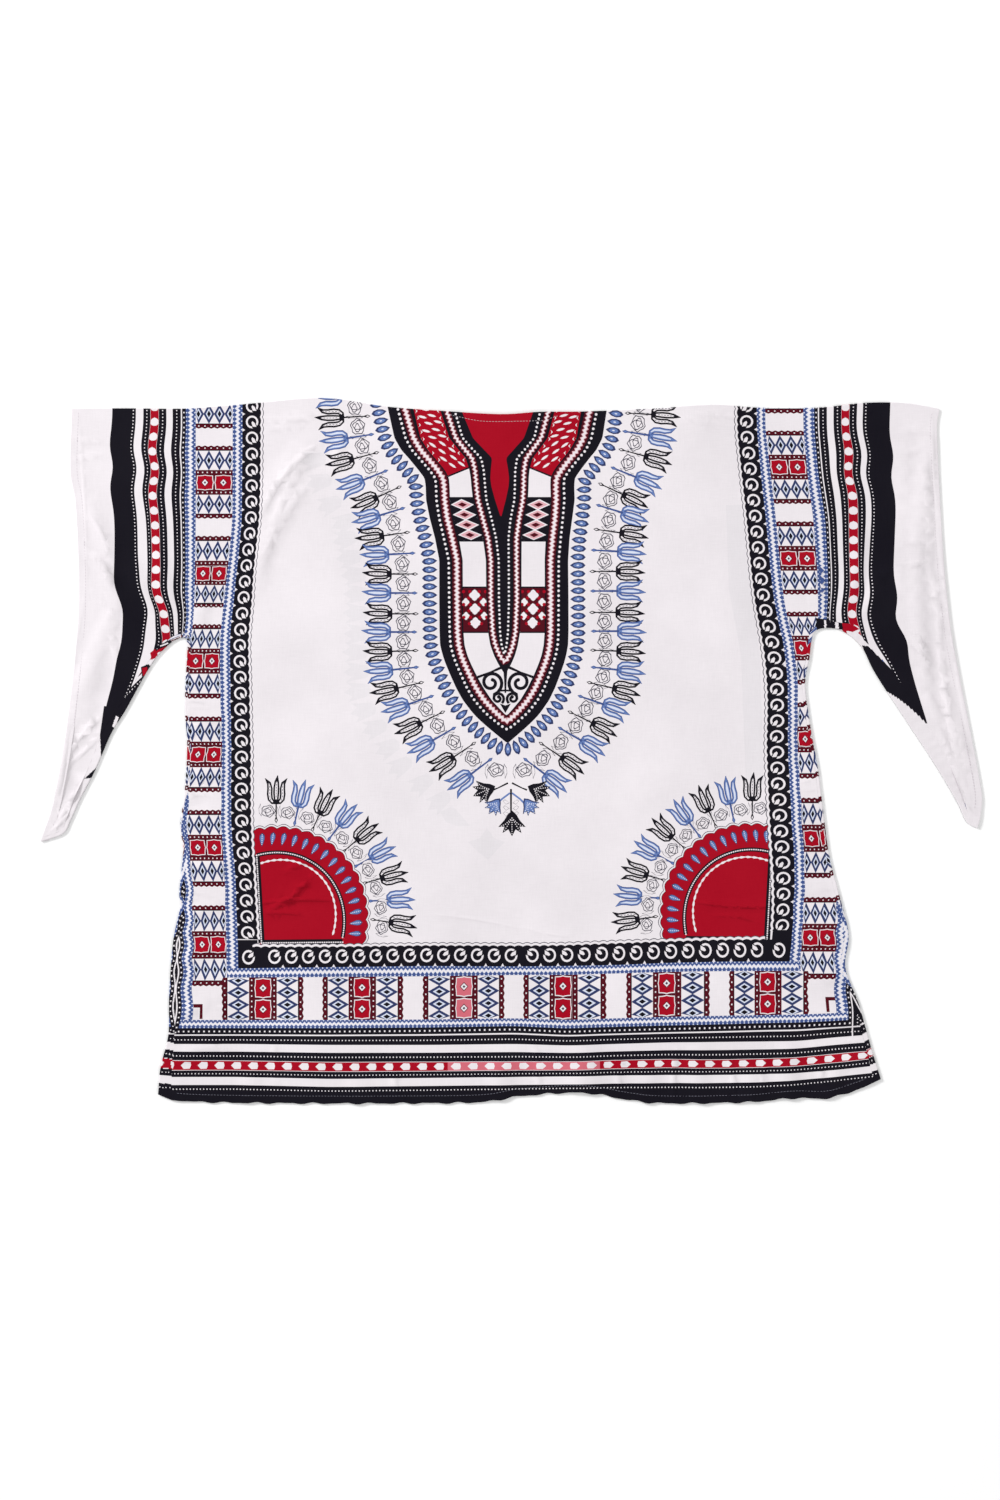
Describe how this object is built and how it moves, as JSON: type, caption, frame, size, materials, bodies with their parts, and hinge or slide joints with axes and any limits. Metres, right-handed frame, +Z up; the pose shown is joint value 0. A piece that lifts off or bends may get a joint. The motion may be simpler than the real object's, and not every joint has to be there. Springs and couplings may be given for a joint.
{
  "type": "dashiki shirt, laid flat",
  "caption": "Loose printed cotton pullover shirt with wide pointed grown-on sleeves and a boat neck, laid flat with its front up.",
  "frame": {"origin": "on the ground under the middle of the shirt's bounding box", "axes": "+X across the shirt from the sleeve at the picture's left to the other, +Y from the hem to the neck, +Z up, out of the front panel"},
  "size_m": [1.1952, 0.8952, 0.0081],
  "materials": {
    "printed_cotton": "matt plain-weave cotton with a soft sheen, printed in black, blue and red"
  },
  "bodies": {
    "root": {"front_panel": "printed_cotton", "back_panel": "printed_cotton"}
  },
  "joints": []
}
